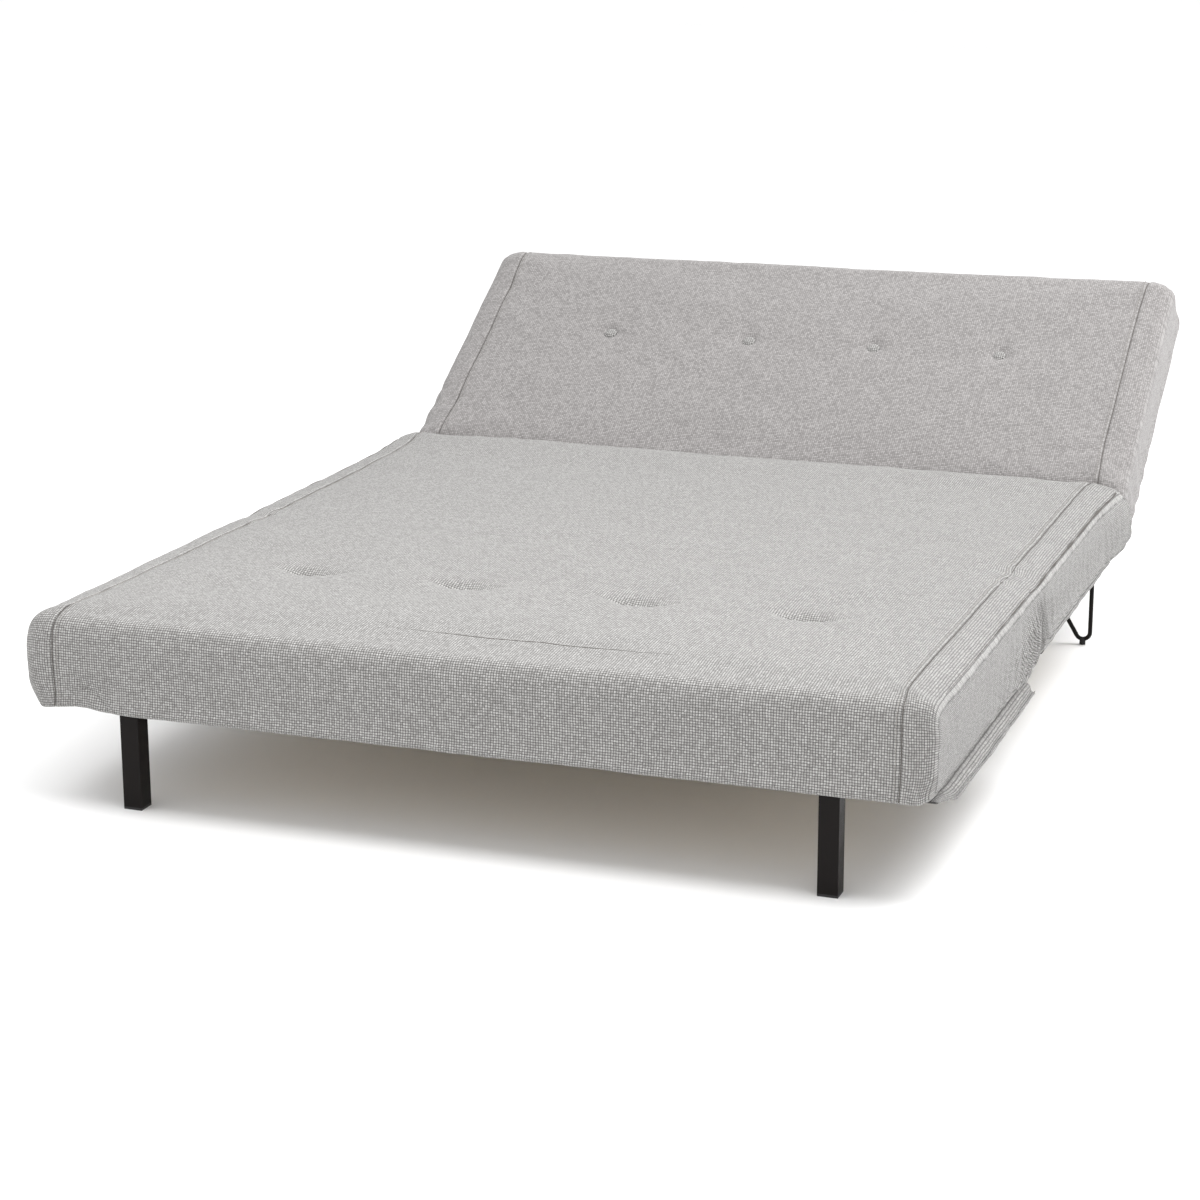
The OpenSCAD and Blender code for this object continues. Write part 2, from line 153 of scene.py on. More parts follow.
# ---------------------------------------------------------------- materials
class Nodes:
    """A short way to write a node tree."""

    def __init__(self, name):
        self.material = bpy.data.materials.new(name)
        self.material.use_nodes = True
        self.tree = self.material.node_tree
        self.tree.nodes.clear()
        self.out = self.tree.nodes.new("ShaderNodeOutputMaterial")
        self.shader = self.tree.nodes.new("ShaderNodeBsdfPrincipled")
        self.link(self.shader.outputs[0], self.out.inputs[0])

    def link(self, output, socket):
        self.tree.links.new(output, socket)

    def feed(self, value, socket):
        """A socket's value: a number, a colour, or another node's output."""
        if isinstance(value, bpy.types.NodeSocket):
            self.link(value, socket)
        else:
            socket.default_value = value

    def math(self, operation, a, b=0.0):
        node = self.tree.nodes.new("ShaderNodeMath")
        node.operation = operation
        for value, socket in zip((a, b), node.inputs):
            self.feed(value, socket)
        return node.outputs[0]

    def vector(self, operation, a, b=(0, 0, 0), scale=1.0):
        node = self.tree.nodes.new("ShaderNodeVectorMath")
        node.operation = operation
        self.feed(a, node.inputs[0])
        if operation == "SCALE":
            node.inputs["Scale"].default_value = scale
        elif operation != "FLOOR":
            self.feed(b, node.inputs[1])
        return node.outputs[0]

    def noise(self, at, scale, detail=2.0, roughness=0.5):
        node = self.tree.nodes.new("ShaderNodeTexNoise")
        self.feed(at, node.inputs["Vector"])
        node.inputs["Scale"].default_value = scale
        node.inputs["Detail"].default_value = detail
        node.inputs["Roughness"].default_value = roughness
        return node.outputs["Fac"]

    def drift(self, at, scale, by):
        """at, pushed about by a slow noise, up to half of by each way."""
        node = self.tree.nodes.new("ShaderNodeTexNoise")
        self.feed(at, node.inputs["Vector"])
        node.inputs["Scale"].default_value = scale
        centred = self.vector("SUBTRACT", node.outputs["Color"], (0.5, 0.5, 0.5))
        return self.vector("ADD", at, self.vector("SCALE", centred, scale=by))

    def spread(self, value, low, high, start=0.0, end=1.0):
        """Maps value from low..high to start..end, clamped."""
        node = self.tree.nodes.new("ShaderNodeMapRange")
        self.feed(value, node.inputs[0])
        for number, socket in zip((low, high, start, end), list(node.inputs)[1:5]):
            socket.default_value = number
        return node.outputs[0]

    def mix(self, factor, a, b):
        node = self.tree.nodes.new("ShaderNodeMix")
        node.data_type = "RGBA"
        self.feed(factor, node.inputs["Factor"])
        colours = [s for s in node.inputs if s.type == "RGBA"]
        self.feed(a, colours[0])
        self.feed(b, colours[1])
        return [s for s in node.outputs if s.type == "RGBA"][0]

    def bump(self, height, distance, strength=1.0):
        node = self.tree.nodes.new("ShaderNodeBump")
        node.inputs["Strength"].default_value = strength
        node.inputs["Distance"].default_value = distance
        self.link(height, node.inputs["Height"])
        self.link(node.outputs[0], self.shader.inputs["Normal"])

    def at(self, name=None):
        """Where a point is: in the cloth, by its attribute, or in the object."""
        if name:
            node = self.tree.nodes.new("ShaderNodeAttribute")
            node.attribute_name = name
            return node.outputs["Vector"]
        return self.tree.nodes.new("ShaderNodeTexCoord").outputs["Object"]

    def set(self, **values):
        for name, value in values.items():
            self.feed(value, self.shader.inputs[name.replace("_", " ")])


def colour(red, green, blue):
    """A colour picked in sRGB, 0 to 255, as the linear one that a shader takes."""
    shares = [c / 255 for c in (red, green, blue)]
    return (*[c / 12.92 if c <= 0.04 else ((c + 0.055) / 1.055) ** 2.4 for c in shares], 1.0)


def upholstery(name, light, dark, depth=1.0):
    """Basket weave of melange yarns in cloth coordinates, so that it bends with the cover.

    depth sets how far the gaps between the yarns sink in the bump, and how strongly painted shade darkens their
    colour there.
    """
    n = Nodes(name)
    cloth = n.at("weave")
    loose = n.drift(n.drift(cloth, 45.0, 0.0018), 170.0, 0.0012)
    yarns = n.vector("SCALE", loose, scale=1 / CELL)
    split = n.tree.nodes.new("ShaderNodeSeparateXYZ")
    n.link(yarns, split.inputs[0])
    across, along = split.outputs[0], split.outputs[1]

    def waves(way, turns):
        return n.math("ABSOLUTE", n.math("SINE", n.math("MULTIPLY", way, turns * math.pi)))

    rise = [waves(way, 1) for way in (across, along)]
    parity = n.math("MODULO", n.math("ADD", n.math("FLOOR", across), n.math("FLOOR", along)), 2.0)
    parity = n.math("ABSOLUTE", parity)
    pillow = n.math("MULTIPLY", n.math("POWER", rise[0], 0.6), n.math("POWER", rise[1], 0.6))
    lengthwise = n.math("MULTIPLY", parity, waves(along, 2))
    crosswise = n.math("MULTIPLY", n.math("SUBTRACT", 1.0, parity), waves(across, 2))
    pair = n.math("ADD", lengthwise, crosswise)
    cell = n.tree.nodes.new("ShaderNodeTexWhiteNoise")
    n.link(n.vector("FLOOR", yarns), cell.inputs["Vector"])
    fuzz = n.noise(cloth, 1500.0, 3.0, 0.6)
    tone = n.math("ADD", n.math("MULTIPLY", cell.outputs["Value"], 0.50), n.math("MULTIPLY", fuzz, 0.35))
    tone = n.math("ADD", tone, n.math("MULTIPLY", parity, 0.06))
    body = n.mix(n.spread(tone, 0.15, 0.85), dark, light)
    patches = n.spread(n.noise(cloth, 30.0, 3.0), 0.3, 0.7, 0.0, 0.12)
    body = n.mix(patches, body, dark)
    lie = n.math("MULTIPLY", pillow, n.spread(pair, 0.0, 0.35, 0.72, 1.0))
    # Painted shade: the base colour is darkened where the weave sinks between the yarns.
    gap_shade_mask = n.spread(lie, 0.15, 0.80, depth, 0.0)
    gap_shade = tuple(c * 0.30 for c in dark[:3]) + (1.0,)
    n.set(Base_Color=n.mix(gap_shade_mask, body, gap_shade), Roughness=0.92, Sheen_Weight=0.2, Sheen_Roughness=0.5)
    n.set(Specular_IOR_Level=0.2)
    n.bump(n.math("ADD", lie, n.math("MULTIPLY", fuzz, 0.25)), 0.0012, 0.9 * depth)
    return n.material


def painted_steel():
    """Black powder coat, satin, with a fine orange peel."""
    n = Nodes("black_powder_coat")
    here = n.at()
    tone = n.noise(here, 35.0, 4.0)
    n.set(Base_Color=n.mix(tone, colour(15, 12, 11), colour(24, 20, 19)))
    n.set(Roughness=n.spread(tone, 0.3, 0.7, 0.38, 0.5), Specular_IOR_Level=0.12)
    n.bump(n.noise(here, 1400.0, 2.0), 0.00025, 0.5)
    return n.material


def zinc_plate():
    """Zinc-plated steel with a faint mottled tone."""
    n = Nodes("zinc_plate")
    here = n.at()
    tone = n.noise(here, 120.0, 5.0)
    n.set(Base_Color=n.mix(tone, colour(150, 152, 156), colour(196, 198, 201)), Metallic=1.0)
    n.set(Roughness=n.spread(tone, 0.3, 0.7, 0.28, 0.45))
    n.bump(n.noise(here, 900.0, 3.0), 0.0001, 0.4)
    return n.material


def birch():
    """Bent birch slat: long fine grain along X."""
    n = Nodes("birch_slat")
    here = n.vector("MULTIPLY", n.at(), (0.06, 1.0, 1.0))
    grain = n.noise(here, 260.0, 6.0, 0.65)
    broad = n.noise(here, 18.0, 3.0)
    wood = n.mix(n.spread(grain, 0.3, 0.7), colour(206, 188, 160), colour(228, 214, 190))
    shade = n.spread(broad, 0.35, 0.75, 0.0, 0.35)
    n.set(Base_Color=n.mix(shade, wood, colour(208, 190, 162)), Roughness=0.55)
    n.bump(grain, 0.0002, 0.5)
    return n.material


def moulded(name, dark, light, rough):
    """Moulded plastic or rubber with a fine spark texture."""
    n = Nodes(name)
    here = n.at()
    n.set(Base_Color=n.mix(n.noise(here, 60.0, 3.0), dark, light))
    n.set(Roughness=n.spread(n.noise(here, 400.0), 0.3, 0.7, rough, rough + 0.12))
    n.bump(n.noise(here, 2200.0, 1.0), 0.0002, 0.4)
    return n.material


def lining():
    """Non-woven dust cover: matted fibres, pressed in a grid of small dots."""
    n = Nodes("dust_cover_felt")
    here = n.at("weave")
    fibres = n.noise(here, 900.0, 6.0, 0.7)
    dots = n.tree.nodes.new("ShaderNodeTexVoronoi")
    n.feed(here, dots.inputs["Vector"])
    dots.inputs["Scale"].default_value = 420.0
    dots.inputs["Randomness"].default_value = 0.15
    press = n.spread(dots.outputs["Distance"], 0.1, 0.4)
    matted = n.math("MULTIPLY", fibres, press)
    n.set(Base_Color=n.mix(matted, colour(30, 30, 31), colour(74, 74, 75)), Roughness=0.9)
    n.bump(n.math("ADD", press, fibres), 0.0003, 0.6)
    return n.material


LIGHT_YARN = colour(198, 197, 195)
DARK_YARN = colour(145, 143, 141)
FABRIC = upholstery("upholstery_grey", LIGHT_YARN, DARK_YARN)
LIGHT_BACK_YARN = colour(174, 171, 170)
DARK_BACK_YARN = colour(128, 125, 124)
FABRIC_SMOOTH = upholstery("grey_melange_smooth", LIGHT_BACK_YARN, DARK_BACK_YARN, depth=0.5)
SEWING = moulded("sewing_thread", colour(142, 138, 134), colour(166, 162, 157), 0.7)
# Painted shade: the dark tubes in seam grooves, gaping seams and the pressed crease stand for the shade in them.
SEAM_SHADE = moulded("seam_shadow_line", colour(72, 69, 66), colour(96, 92, 88), 0.9)
STEEL = painted_steel()
ZINC = zinc_plate()
BIRCH = birch()
PLASTIC = moulded("black_plastic", colour(20, 20, 21), colour(33, 33, 34), 0.5)
RUBBER = moulded("rubber_feet", colour(16, 16, 16), colour(28, 27, 27), 0.7)
LINING = lining()

FINISHES = {
    "steel": STEEL,
    "zinc": ZINC,
    "slats": BIRCH,
    "plastic": PLASTIC,
    "rubber_feet": RUBBER,
    "lining": LINING,
    "upholstery": FABRIC,
    "buttons": FABRIC,
}


def finish_cad_nodes():
    """Gives every CAD node the material that its record slot names."""
    for row in frame["record"]["subparts"]:
        mesh = frame["nodes"][row["node"]].data
        mesh.materials.clear()
        mesh.materials.append(FINISHES[row["material_slot"]])


# ---------------------------------------------------------------- mesh helpers
def new_piece(name, points, faces, material):
    mesh = bpy.data.meshes.new(name)
    mesh.from_pydata([tuple(p) for p in points], [], [tuple(int(i) for i in f) for f in faces])
    mesh.materials.append(material)
    mesh.validate()
    mesh.shade_smooth()
    piece = bpy.data.objects.new(name, mesh)
    bpy.context.scene.collection.objects.link(piece)
    return piece


def points_of(piece):
    co = np.empty(len(piece.data.vertices) * 3)
    piece.data.vertices.foreach_get("co", co)
    return co.reshape(-1, 3)


def normals_of(piece):
    co = np.empty(len(piece.data.vertices) * 3)
    piece.data.vertices.foreach_get("normal", co)
    return co.reshape(-1, 3)


def move_points(piece, points):
    piece.data.vertices.foreach_set("co", np.asarray(points, float).ravel())
    piece.data.update()


def write_vectors(piece, name, domain, values):
    layer = piece.data.attributes.new(name, "FLOAT_VECTOR", domain)
    layer.data.foreach_set("vector", np.asarray(values, np.float32).ravel())


def read_vectors(piece, name):
    layer = piece.data.attributes[name]
    co = np.empty(len(layer.data) * 3, np.float32)
    layer.data.foreach_get("vector", co)
    return co.reshape(-1, 3).astype(float)


def settle(piece):
    """Applies every modifier."""
    graph = bpy.context.evaluated_depsgraph_get()
    made = bpy.data.meshes.new_from_object(piece.evaluated_get(graph), depsgraph=graph)
    piece.modifiers.clear()
    piece.data = made
    piece.data.shade_smooth()


def subdivide(piece):
    """Splits every face once and rounds the mesh."""
    layer = piece.modifiers.new("finer", "SUBSURF")
    layer.levels = layer.render_levels = 1
    layer.boundary_smooth = "PRESERVE_CORNERS"
    settle(piece)


SOFT_ROUNDS = 5


def soften(piece, weight):
    """Evens out the mesh where weight is above 0."""
    edges = np.array([e.vertices[:] for e in piece.data.edges])
    co = points_of(piece)
    count = np.bincount(edges.ravel(), minlength=len(co))[:, None]
    for _ in range(SOFT_ROUNDS):
        total = np.zeros_like(co)
        np.add.at(total, edges[:, 0], co[edges[:, 1]])
        np.add.at(total, edges[:, 1], co[edges[:, 0]])
        co += 0.5 * weight[:, None] * (total / count - co)
    move_points(piece, co)


def bell(d, width):
    """1 at d = 0, falling away smoothly beyond width."""
    return np.exp(-((d / width) ** 2))


def ramp(value, low, high):
    """0 below low, 1 above high, and a smooth step between."""
    t = np.clip((value - low) / (high - low), 0, 1)
    return t * t * (3 - 2 * t)


WAVES = 14


def ripples(points, wavelength, seed):
    """A smooth random field, about -1 to 1, made of plane waves."""
    rng = np.random.default_rng(seed)
    total = np.zeros(len(points))
    for _ in range(WAVES):
        way = rng.normal(size=3)
        way *= rng.uniform(0.6, 1.5) * 2 * math.pi / wavelength / np.linalg.norm(way)
        total += np.sin(points @ way + rng.uniform(0, 2 * math.pi))
    return total / math.sqrt(WAVES)


# ---------------------------------------------------------------- padded forms
def rounding(d, r):
    """How far a surface has turned in, at distance d from a corner of radius r."""
    d = np.clip(d, 0, r)
    return r - np.sqrt(np.maximum(r * r - (r - d) ** 2, 0))


def round_corner(x, a, half, end, r):
    """Turns the square corner of a panel's outline, at (half, end), into an arc of radius r."""
    out, on = abs(x) - (half - r), a - (end - r)
    if out <= 0 or on <= 0:
        return x, a
    pull = max(out, on) / math.hypot(out, on)
    return math.copysign(half - r + out * pull, x), end - r + on * pull


class Section:
    """The side view of a pad: a along it and t through it, with four rounded corners."""

    MID = 1 - math.sqrt(0.5)

    def __init__(self, length, low, high, radii, step=None):
        self.length, self.low, self.high, self.radii = length, low, high, radii
        self.step = step

    def floor(self, a):
        """Height of the underside, which steps up at the fold."""
        if self.step is None:
            return np.full_like(a, self.low)
        start, end, up = self.step
        return self.low + up * ramp(a, start, end)

    def grid(self, stations, layers, inset):
        """Points (a, t) over the section, pulled in by inset: one row per station, one column per layer."""
        front_low, front_high, rear_high, rear_low = [max(r - inset, 0.002) for r in self.radii]
        start, end = inset, self.length - inset
        high, mid = self.high - inset, self.MID

        def run(first, last):
            return start + first * mid + (end - last * mid - start - first * mid) * stations

        a_high, a_low = run(front_high, rear_high), run(front_low, rear_low)
        t_high = high - rounding(a_high - start, front_high) - rounding(end - a_high, rear_high)
        t_low = self.floor(a_low) + inset
        t_low += rounding(a_low - start, front_low) + rounding(end - a_low, rear_low)
        share = np.linspace(0, 1, layers + 1)

        def side(edge, sign, r_low, r_high, t0, t1):
            t = t0 + (t1 - t0) * share
            bottom = self.floor(np.array([edge]))[0] + inset
            return edge + sign * (rounding(high - t, r_high) + rounding(t - bottom, r_low)), t

        a_front, t_front = side(start, 1, front_low, front_high, t_low[0], t_high[0])
        a_rear, t_rear = side(end, -1, rear_low, rear_high, t_low[-1], t_high[-1])
        v, w = stations[:, None], share[None, :]

        def patch(low, high_run, front, rear):
            straight = low[:, None] * (1 - w) + high_run[:, None] * w
            across = front[None, :] * (1 - v) + rear[None, :] * v
            first = (1 - w) * low[0] + w * high_run[0]
            last = (1 - w) * low[-1] + w * high_run[-1]
            return straight + across - (1 - v) * first - v * last

        return patch(a_low, a_high, a_front, a_rear), patch(t_low, t_high, t_front, t_rear)


def stations_from(edges, spacing):
    """0 to 1 along a length, finer where spacing(a) is smaller."""
    places = [edges[0]]
    while places[-1] < edges[1]:
        places.append(places[-1] + spacing(places[-1]))
    places = np.array(places)
    return (places - places[0]) / (places[-1] - places[0])


def across_stations(half, spacing, edge_r, seam):
    """Places across the width, with extra ones at both seams and round both side edges."""
    inner = np.linspace(0, half - seam - 0.012, int((half - seam - 0.012) / spacing) + 1)
    at_seam = half - seam + np.array([-0.005, 0.0, 0.005])
    outer = np.linspace(half - seam + 0.012, half - edge_r, 4)
    edge = half - edge_r + edge_r * np.sin(np.radians([30, 60, 90]))
    right = np.concatenate([inner, at_seam, outer, edge])
    return np.concatenate([-right[:0:-1], right])


def edge_inset(x, half, edge_r):
    """How far the section has pulled in at x, round a side edge."""
    return float(rounding(np.array([half - abs(x)]), edge_r)[0])


def pad(name, section, stations, layers, xs, half, edge_r, place, material, spare=lambda a, t: 0.0):
    """A closed pad as one quad mesh: the section carried across the width, with both side panels.

    spare(a, t) is the cloth gathered in up to that place, beyond what the shape at rest needs.
    """
    grids = [section.grid(stations, layers, edge_inset(x, half, edge_r)) for x in xs]
    a = np.array([g[0] for g in grids])
    t = np.array([g[1] for g in grids])
    nx, nv, nw = a.shape
    i, v, w = np.indices(a.shape)
    skin = (i == 0) | (i == nx - 1) | (v == 0) | (v == nv - 1) | (w == 0) | (w == nw - 1)
    number = np.full(a.shape, -1)
    number[skin] = np.arange(skin.sum())
    local = np.stack([np.array(xs)[i[skin]], a[skin], t[skin]], axis=1)

    flat_a, flat_t = section.grid(stations, layers, 0.0)
    ring = [(p, 0) for p in range(nv)] + [(nv - 1, q) for q in range(1, nw)]
    ring += [(p, nw - 1) for p in range(nv - 2, -1, -1)] + [(0, q) for q in range(nw - 2, 0, -1)]
    ring_at = np.array([(flat_a[p, q], flat_t[p, q]) for p, q in ring])
    steps = np.linalg.norm(np.diff(ring_at, axis=0, append=ring_at[:1]), axis=1)
    run = np.concatenate([[0], np.cumsum(steps)])
    run += [spare(*ring_at[k % len(ring)]) for k in range(len(run))]

    faces, cloth = [], []
    for k, (p, q) in enumerate(ring):
        p2, q2 = ring[(k + 1) % len(ring)]
        for m in range(nx - 1):
            faces.append((number[m, p, q], number[m, p2, q2], number[m + 1, p2, q2], number[m + 1, p, q]))
            left, right = xs[m], xs[m + 1]
            cloth += [(left, run[k], 0), (left, run[k + 1], 0), (right, run[k + 1], 0), (right, run[k], 0)]
    for m, turned in ((0, False), (nx - 1, True)):
        for p in range(nv - 1):
            for q in range(nw - 1):
                face = [(p, q), (p, q + 1), (p + 1, q + 1), (p + 1, q)]
                if turned:
                    face = face[::-1]
                faces.append([number[m, r, s] for r, s in face])
                flat = [(flat_a[r, s], flat_t[r, s]) for r, s in face]
                cloth += [(along + spare(along, up), up, 0) for along, up in flat]
    piece = new_piece(name, [place(*c) for c in local], faces, material)
    write_vectors(piece, "weave", "CORNER", cloth)
    write_vectors(piece, "flat", "POINT", local)
    held = piece.vertex_groups.new(name="held")
    resting = np.nonzero(w[skin] == 0)[0]
    held.add([int(k) for k in resting], 1.0, "REPLACE")
    return piece


SIM_FRAMES = 20
AIR_PRESSURE = 4.0
CLOTH_SLACK = 0.012  # share by which the cover is cut larger than the pad


def inflate(piece, cap):
    """Cloth over filling: air pressure swells the cover, held where it rests, by cap at the most."""
    before = points_of(piece)
    layer = piece.modifiers.new("air", "CLOTH")
    layer.settings.quality = 4
    layer.settings.mass = 0.35
    layer.settings.tension_stiffness = layer.settings.compression_stiffness = 18
    layer.settings.shear_stiffness = 8
    layer.settings.bending_stiffness = 0.4
    layer.settings.use_pressure = True
    layer.settings.uniform_pressure_force = AIR_PRESSURE
    layer.settings.shrink_min = -CLOTH_SLACK
    layer.settings.vertex_group_mass = "held"
    layer.settings.effector_weights.gravity = 0.0
    layer.collision_settings.use_collision = False
    layer.point_cache.frame_start = 1
    layer.point_cache.frame_end = SIM_FRAMES
    for moment in range(1, SIM_FRAMES + 1):
        bpy.context.scene.frame_set(moment)
        bpy.context.view_layer.update()
    graph = bpy.context.evaluated_depsgraph_get()
    swollen = bpy.data.meshes.new_from_object(piece.evaluated_get(graph), depsgraph=graph)
    after = np.empty(len(swollen.vertices) * 3)
    swollen.vertices.foreach_get("co", after)
    moved = after.reshape(-1, 3) - before
    bpy.data.meshes.remove(swollen)
    piece.modifiers.clear()
    bpy.context.scene.frame_set(1)
    far = np.linalg.norm(moved, axis=1, keepdims=True) + 1e-9
    move_points(piece, before + moved / far * cap * np.tanh(far / cap))


def on_surface(piece, point):
    """The nearest place on a piece to a point, and its normal."""
    _, where, normal, _ = piece.closest_point_on_mesh(point)
    return where, normal


TUBE_SIDES = 6


def tube(name, path, radii, material):
    """A thin closed tube along a path of (point, normal), with a radius at each."""
    sides = TUBE_SIDES
    points, faces = [], []
    for k, ((here, normal), radius) in enumerate(zip(path, radii)):
        ahead = path[min(k + 1, len(path) - 1)][0] - path[max(k - 1, 0)][0]
        ahead.normalize()
        side = ahead.cross(normal).normalized()
        up = side.cross(ahead)
        for j in range(sides):
            turn = 2 * math.pi * j / sides
            points.append(here + side * (radius * math.cos(turn)) + up * (radius * math.sin(turn)))
    rings = len(path)
    for k in range(rings - 1):
        for j in range(sides):
            m = (j + 1) % sides
            faces.append((k * sides + j, k * sides + m, (k + 1) * sides + m, (k + 1) * sides + j))
    faces.append(tuple(range(sides))[::-1])
    faces.append(tuple((rings - 1) * sides + j for j in range(sides)))
    return new_piece(name, points, faces, material)


def stitches(name, path, pitch, length, radius, material):
    """A row of short raised stitches along a path of (point, normal)."""
    points, faces = [], []
    since = 0.0
    for (here, normal), (ahead, _) in zip(path, path[1:]):
        step = ahead - here
        reach = step.length
        if reach < 1e-7:
            continue
        step.normalize()
        side = step.cross(normal).normalized()
        start = pitch - since if since else 0.0
        while start < reach:
            first = here + step * start
            base = len(points)
            for along, high, wide in ((0, 0.0, 0.3), (0.25, 0.9, 1), (0.75, 0.9, 1), (1, 0.0, 0.3)):
                centre = first + step * (along * length) + normal * (high * radius)
                for turn in (0, 72, 144, 216, 288):
                    s, c = math.sin(math.radians(turn)), math.cos(math.radians(turn))
                    points.append(centre + (side * c + normal * s) * (radius * wide))
            for ring in range(3):
                for j in range(5):
                    m = (j + 1) % 5
                    low, high = base + ring * 5, base + ring * 5 + 5
                    faces.append((low + j, low + m, high + m, high + j))
            faces.append(tuple(base + j for j in (4, 3, 2, 1, 0)))
            faces.append(tuple(base + 15 + j for j in range(5)))
            start += pitch
        since = reach - (start - pitch)
    return new_piece(name, points, faces, material)


# ---------------------------------------------------------------- the mattress
START_SMALLER = 0.004  # the cover swells by about this much
CROWN = 0.006  # room left for the top to swell into
EDGE_R = 0.018  # side edges
FINE = 0.008  # mesh spacing
COARSE = 0.0135
CREASE_A = 0.111  # the pressed crease across the top
CREASE_SLANT = 0.010
CREASE_FROM, CREASE_TO = -0.150, 0.295
BED_WIDER = 0.004  # the swelling draws the side panels in again
BACK_WIDER = 0.008
STEP_FROM, STEP_TO = FOLD - 0.018, FOLD + 0.013  # where the underside steps up
BED_RADII = (0.007, 0.030, 0.044, 0.060)
BED_STEP = (STEP_FROM, STEP_TO, MIDDLE_UNDER - SEAT_UNDER)
BED_SECTION = Section(REAR, SEAT_UNDER, TOP_Z, BED_RADII, BED_STEP)


def bed_spacing(a):
    if abs(a - FOLD) < 0.045:
        return 0.0045
    return FINE if min(a, REAR - a) < 0.06 else COARSE


def outline(section, spacing):
    """Points (a, t) round a section, from its rear end over the top and down its front face."""
    stations = stations_from((0.0, section.length), lambda a: spacing)
    a, t = section.grid(stations, 24, 0.0)
    over = list(zip(a[::-1, -1], t[::-1, -1]))
    down = list(zip(a[0, ::-1], t[0, ::-1]))[1:]
    return over, down


def crease_fade(x):
    """How deep the pressed crease is at x: nothing at its two ends."""
    return ramp(x, CREASE_FROM, 0.0) * ramp(-x, -CREASE_TO, -0.12)


def sculpt_mattress(piece):
    """What the filling and the sewing do to the cover: dimples, grooves, gathers and creases."""
    x, a, t = read_vectors(piece, "flat").T
    co, normal = points_of(piece), normals_of(piece)
    wide = np.abs(x)
    sign = np.sign(x)
    flat = np.stack([x, a, t], axis=1)
    on_top = ramp(t, TOP_Z - 0.030, TOP_Z - 0.012)
    on_side = ramp(wide, HALF_W - 0.014, HALF_W - 0.007)
    push = 0.0006 * ripples(flat, 0.16, 3) + 0.00035 * ripples(flat, 0.05, 4)

    for centre in SEAT_BUTTONS:
        dx, da = x - centre.x, a - (centre.y - FRONT_Y)
        far = np.hypot(dx, da)
        bow = da + 0.010 - 2.2 * dx**2
        pit = 0.0055 * bell(far, 0.080) + 0.0125 * bell(dx, 0.034) * bell(da + 0.004, 0.019)
        pit += 0.0090 * bell(dx, 0.046) * bell(bow, 0.0075)
        push -= on_top * pit
        beneath = (1 - on_top) * (1 - on_side) * ramp(SEAT_UNDER + 0.03 - t, 0, 0.02)
        push -= beneath * 0.010 * bell(far, 0.026)

    seam = wide - (HALF_W - SEAM_IN)
    sewn = (1 - on_side) * (-0.0024 * bell(seam, 0.0030) + 0.0007 * bell(seam - 0.009, 0.007))
    push += sewn * ramp(t, SEAT_UNDER + 0.001, SEAT_UNDER + 0.012)

    near_fold = bell(a - FOLD + 0.05 - 0.4 * (t - 0.24), 0.100)
    low = ramp(TOP_Z - t, 0.010, 0.10) * (0.35 + 0.65 * ramp(t, SEAT_UNDER + 0.01, SEAT_UNDER + 0.05))
    bent = a + 5.0 * (t - 0.235) ** 2 + 0.10 * (t - 0.235)
    folds = np.sin((bent - FOLD) * 2 * math.pi / 0.024 + 1.5 * ripples(flat, 0.13, 9))
    folds = np.sign(folds) * np.abs(folds) ** 0.7
    push += on_side * near_fold * (0.0055 * low * folds - 0.0012 * bell(a - FOLD, 0.040))
    pleats = np.sin(a * 2 * math.pi / 0.038 + 1.6 * ripples(flat, 0.15, 11))
    push += on_side * 0.0013 * pleats * ramp(a, 0.20, 0.5) * ramp(TOP_Z - t, 0.02, 0.08)
    tugs = np.sin((np.hypot(a - REAR + 0.075, t - 0.30) - 0.02) * 2 * math.pi / 0.017)
    push += on_side * 0.0009 * tugs * bell(a - REAR + 0.02, 0.05) * ramp(t, 0.19, 0.23)

    under_fold = (1 - on_side) * ramp(0.02 - (t - SEAT_UNDER), 0, 0.015) * bell(a - FOLD, 0.035)
    push -= under_fold * (0.004 + 0.0015 * np.sin((a - FOLD) * 2 * math.pi / 0.014))

    co = co + normal * push[:, None]
    drawn_in = ramp(SEAT_UNDER + 0.045 - t, 0, 0.04) * ramp(wide, HALF_W - 0.06, HALF_W)
    co[:, 0] -= sign * 0.008 * drawn_in * (1 + 0.8 * ramp(-x, 0.5, 0.6) * ramp(0.2 - a, 0, 0.15))
    full = bell(t - 0.240, 0.045) * ramp(wide, HALF_W - 0.08, HALF_W)
    co[:, 0] += sign * full * (0.003 + 0.006 * ramp(-x, 0.5, 0.6) * bell(a, 0.15))
    pinch = bell(a - FOLD, 0.05) * ramp(wide, HALF_W - 0.12, HALF_W) * ramp(t, TOP_Z - 0.04, TOP_Z)
    co[:, 2] -= pinch * 0.003
    squeezed = bell(a - REAR + 0.015, 0.125) * bell(t - 0.240, 0.060) * ramp(wide, HALF_W - 0.12, HALF_W)
    co[:, 0] += sign * 0.023 * squeezed
    plump = bell(a - REAR + 0.055, 0.110) * ramp(t, TOP_Z - 0.06, TOP_Z - 0.01) * (1 - (x / 0.76) ** 4)
    co[:, 2] += 0.013 * plump * (0.9 - 0.25 * x)

    pressed = bell(a - CREASE_A + CREASE_SLANT * x, 0.009) * crease_fade(x)
    co[:, 2] -= 0.0016 * pressed * on_top
    waver = 0.0042 * np.sin((a - FOLD) * 2 * math.pi / 0.085 + 0.6) * bell(a - FOLD, 0.075)
    co[:, 0] += sign * waver * bell(seam, 0.024) * ramp(t, TOP_Z - 0.03, TOP_Z - 0.01)
    skirt = on_side * ramp(0.030 - (t - SEAT_UNDER), 0, 0.028) * bell(a - FOLD + 0.09, 0.075)
    co[:, 2] -= 0.009 * skirt * ramp(FOLD - 0.02 - a, 0, 0.03)

